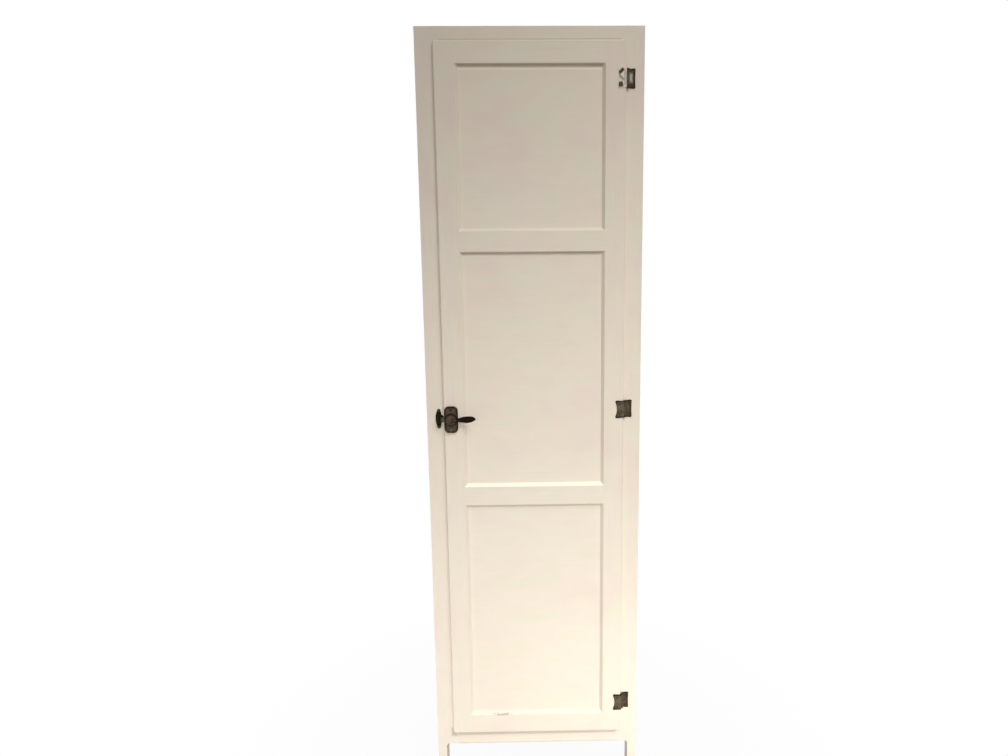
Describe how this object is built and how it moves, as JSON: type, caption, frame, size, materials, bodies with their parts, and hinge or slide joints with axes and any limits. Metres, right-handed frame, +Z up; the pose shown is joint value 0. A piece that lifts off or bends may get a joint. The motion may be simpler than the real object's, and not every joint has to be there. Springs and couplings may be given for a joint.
{
  "type": "utility cabinet",
  "caption": "Tall narrow wooden cabinet on four legs with a full-height panelled door, side hinges, a lever latch and fixed shelves inside.",
  "frame": {"origin": "on the floor under the middle of the whole object, latch included", "axes": "+X to the viewer's right, +Y towards the back, +Z up; the door faces -Y"},
  "size_m": [0.457, 0.337, 1.676],
  "materials": {
    "cream_paint": "aged cream enamel, satin",
    "inside_paint": "cream paint, worn and a little duller",
    "bronzed_metal": "dark bronzed steel and casting, dull",
    "screw_steel": "darkened steel",
    "pin_steel": "darkened steel",
    "spring_steel": "blued spring strip"
  },
  "bodies": {
    "carcass": {"back_panel_lower": "cream_paint", "back_panel_upper": "cream_paint", "back_rail_bottom": "cream_paint", "back_rail_middle": "cream_paint", "back_rail_top": "cream_paint", "bottom_board": "inside_paint", "face_rail_bottom": "cream_paint", "face_rail_top": "cream_paint", "face_stile_left": "cream_paint", "face_stile_right": "cream_paint", "hinge_frame_leaf_bottom": "bronzed_metal", "hinge_frame_leaf_middle": "bronzed_metal", "hinge_frame_leaf_top": "bronzed_metal", "hinge_frame_screws": "screw_steel", "hinge_pin_bottom": "pin_steel", "hinge_pin_middle": "pin_steel", "hinge_pin_top": "pin_steel", "post_back_left": "cream_paint", "post_back_right": "cream_paint", "post_front_left": "cream_paint", "post_front_right": "cream_paint", "shelf_1": "inside_paint", "shelf_2": "inside_paint", "shelf_3": "inside_paint", "shelf_4": "inside_paint", "shelf_cleats_left": "inside_paint", "shelf_cleats_right": "inside_paint", "side_panel_lower_left": "cream_paint", "side_panel_lower_right": "cream_paint", "side_panel_upper_left": "cream_paint", "side_panel_upper_right": "cream_paint", "side_rail_bottom_left": "cream_paint", "side_rail_bottom_right": "cream_paint", "side_rail_middle_left": "cream_paint", "side_rail_middle_right": "cream_paint", "side_rail_top_left": "cream_paint", "side_rail_top_right": "cream_paint", "strike_plate": "bronzed_metal", "strike_screws": "screw_steel", "top_board": "cream_paint"},
    "door": {"door_panel_lower": "cream_paint", "door_panel_middle": "cream_paint", "door_panel_upper": "cream_paint", "door_rail_bottom": "cream_paint", "door_rail_lower": "cream_paint", "door_rail_top": "cream_paint", "door_rail_upper": "cream_paint", "door_stile_left": "cream_paint", "door_stile_right": "cream_paint", "hinge_door_leaf_bottom": "bronzed_metal", "hinge_door_leaf_middle": "bronzed_metal", "hinge_door_leaf_top": "bronzed_metal", "hinge_door_screws": "screw_steel", "latch_case": "bronzed_metal", "latch_pivot_pin": "pin_steel", "latch_screws": "screw_steel", "latch_spring": "spring_steel"},
    "lever": {"latch_lever": "bronzed_metal"},
    "bolt": {"latch_bolt": "bronzed_metal"}
  },
  "joints": [
    {"name": "door_hinge", "type": "hinge", "parent": "carcass", "child": "door", "pos_m": [0.195, -0.14, 0.904], "axis": [0, 0, 1], "range_deg": [0, 115]},
    {"name": "lever_pull", "type": "hinge", "parent": "door", "child": "lever", "pos_m": [-0.1756, -0.1553, 0.8865], "axis": [0, 0, -1], "range_deg": [0, 40], "stiffness_Nm_per_rad": 0.02, "springref_deg": -28.65},
    {"name": "bolt_slide", "type": "slide", "parent": "door", "child": "bolt", "axis": [1, 0, 0], "range_m": [0, 0.0049], "deforming": ["latch_spring"]}
  ],
  "couplings": [
    {"joint": "bolt_slide", "follows": "lever_pull", "m_per_rad": 0.007018}
  ]
}
